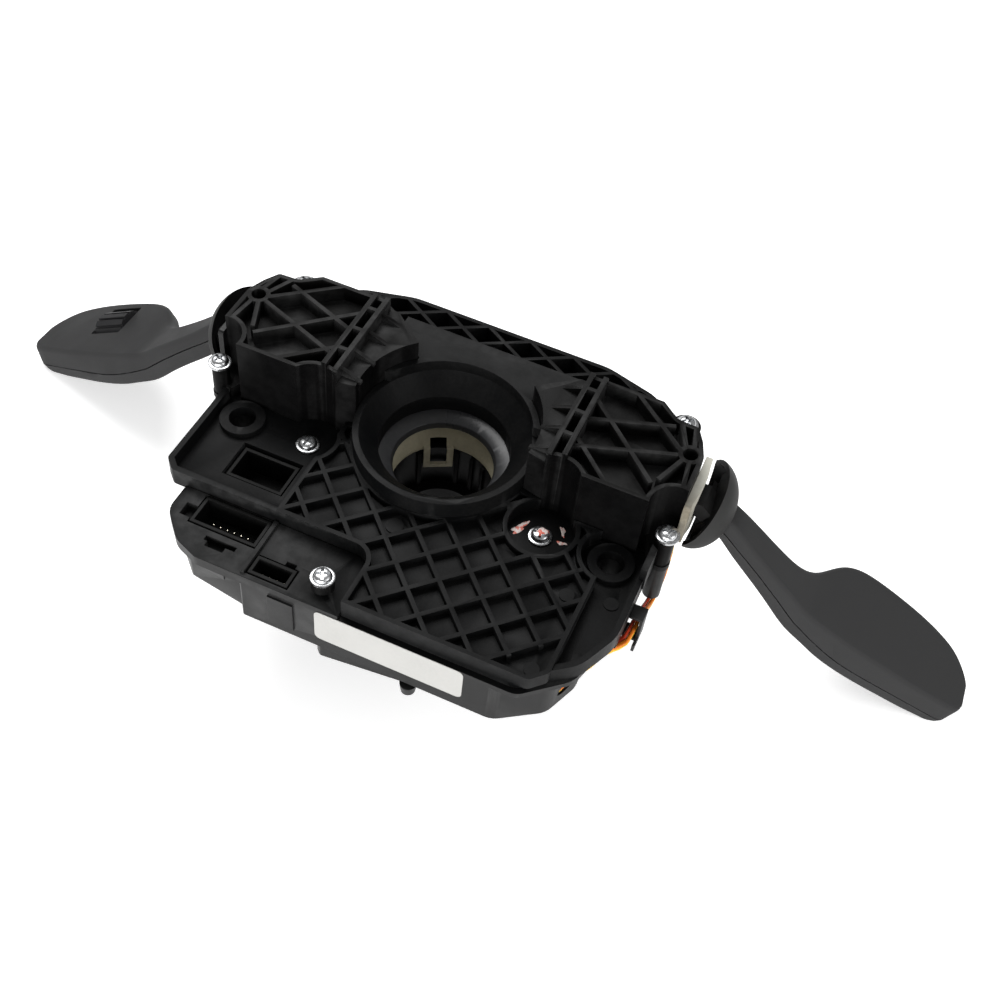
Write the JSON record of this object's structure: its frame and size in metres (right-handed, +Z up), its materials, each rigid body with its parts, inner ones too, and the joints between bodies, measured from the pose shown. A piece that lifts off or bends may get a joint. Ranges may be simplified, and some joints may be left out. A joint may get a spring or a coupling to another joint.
{
  "type": "combination stalk switch",
  "caption": "Steering-column switch with a wiper lever and a turn-signal lever on a ribbed carrier, a connector housing, and a clock spring round the column bore.",
  "frame": {"origin": "on the steering-column axis, at the rear edge of the column bore, where the collar's cone meets the bore", "axes": "+Z up the column axis towards the column bracket, away from the steering wheel; +Y towards the top of the column; +X towards the turn-signal lever"},
  "size_m": [0.3927, 0.1327, 0.0999],
  "materials": {
    "black_plastic": "moulded, satin",
    "lever_plastic": "fine leather grain",
    "grey_plastic": "moulded, satin",
    "cream_plastic": "natural acetal, satin",
    "screw_steel": "zinc plated",
    "spring_steel": "drawn wire",
    "contact_metal": "tinned brass",
    "board_green": "solder-masked glass laminate",
    "sensor_black": "satin",
    "ribbon_clear": "polyester film",
    "label_white": "paper film",
    "wire_orange": "extruded",
    "wire_red": "extruded",
    "wire_yellow": "extruded",
    "wire_white": "extruded"
  },
  "bodies": {
    "base": {"rear_carrier": "black_plastic", "electronics_housing": "black_plastic", "front_cover": "black_plastic", "clockspring_case": "black_plastic", "wiper_switch_housing": "black_plastic", "signal_switch_housing": "black_plastic", "wiper_switch_base": "black_plastic", "signal_switch_base": "black_plastic", "wiper_gate_plate": "black_plastic", "wiper_detent_track": "black_plastic", "signal_detent_track": "black_plastic", "socket_12way": "black_plastic", "socket_4way": "black_plastic", "tray_socket": "black_plastic", "bore_ring": "grey_plastic", "wire_clip": "grey_plastic", "signal_gate_plate": "cream_plastic", "post_screws": "screw_steel", "rear_screws": "screw_steel", "tray_screws": "screw_steel", "block_screw": "screw_steel", "cover_screws": "screw_steel", "socket_12way_pins": "contact_metal", "socket_4way_pins": "contact_metal", "tray_socket_pins": "contact_metal", "main_board": "board_green", "wiper_switch_board": "board_green", "signal_switch_board": "board_green", "angle_sensor": "sensor_black", "flat_cable": "ribbon_clear", "label_plate": "label_white", "lead_orange": "wire_orange", "lead_red": "wire_red", "lead_yellow": "wire_yellow", "lead_white": "wire_white"},
    "wiper_swivel": {"wiper_swivel": "grey_plastic", "wiper_cross_pin": "screw_steel"},
    "wiper_stalk": {"wiper_lever": "grey_plastic", "wiper_hood": "black_plastic", "wiper_stalk_rear_shell": "lever_plastic", "wiper_stalk_front_shell": "lever_plastic", "wiper_detent_plunger": "cream_plastic", "wiper_detent_spring": "spring_steel", "thumb_wheel_axle": "screw_steel"},
    "signal_swivel": {"signal_swivel": "grey_plastic", "signal_cross_pin": "screw_steel"},
    "signal_stalk": {"signal_lever": "grey_plastic", "signal_hood": "black_plastic", "signal_stalk_rear_shell": "lever_plastic", "signal_stalk_front_shell": "lever_plastic", "signal_detent_plunger": "cream_plastic", "signal_detent_spring": "spring_steel"},
    "thumb_wheel": {"thumb_wheel": "lever_plastic"},
    "tip_button": {"tip_button": "lever_plastic"},
    "clockspring_rotor": {"clockspring_rotor": "black_plastic", "drive_ring": "cream_plastic", "code_disk": "sensor_black"}
  },
  "joints": [
    {"name": "wiper_swing", "type": "hinge", "parent": "base", "child": "wiper_swivel", "pos_m": [-0.072, 0.012, 0.0065], "axis": [0, 0, 1], "range_deg": [-6, 6]},
    {"name": "wiper_pull", "type": "hinge", "parent": "wiper_swivel", "child": "wiper_stalk", "pos_m": [-0.072, 0.012, 0.0065], "axis": [0, 1, 0], "range_deg": [-5, 5], "stiffness_Nm_per_rad": 6},
    {"name": "signal_swing", "type": "hinge", "parent": "base", "child": "signal_swivel", "pos_m": [0.072, 0.012, 0.0065], "axis": [0, 0, 1], "range_deg": [-6, 6]},
    {"name": "signal_pull", "type": "hinge", "parent": "signal_swivel", "child": "signal_stalk", "pos_m": [0.072, 0.012, 0.0065], "axis": [0, 1, 0], "range_deg": [-5, 5], "stiffness_Nm_per_rad": 6},
    {"name": "thumb_wheel_turn", "type": "hinge", "parent": "wiper_stalk", "child": "thumb_wheel", "pos_m": [-0.15975, 0.0378, -0.05193], "axis": [-0.8817, 0, -0.4718], "range_deg": [-30, 30]},
    {"name": "tip_button_press", "type": "slide", "parent": "signal_stalk", "child": "tip_button", "axis": [-0.8817, 0, 0.4718], "range_m": [0, 0.0012], "stiffness_N_per_m": 60},
    {"name": "rotor_turn", "type": "hinge", "parent": "base", "child": "clockspring_rotor", "pos_m": [0, 0, -0.028], "axis": [0, 0, 1], "range_deg": [-900, 900]}
  ]
}
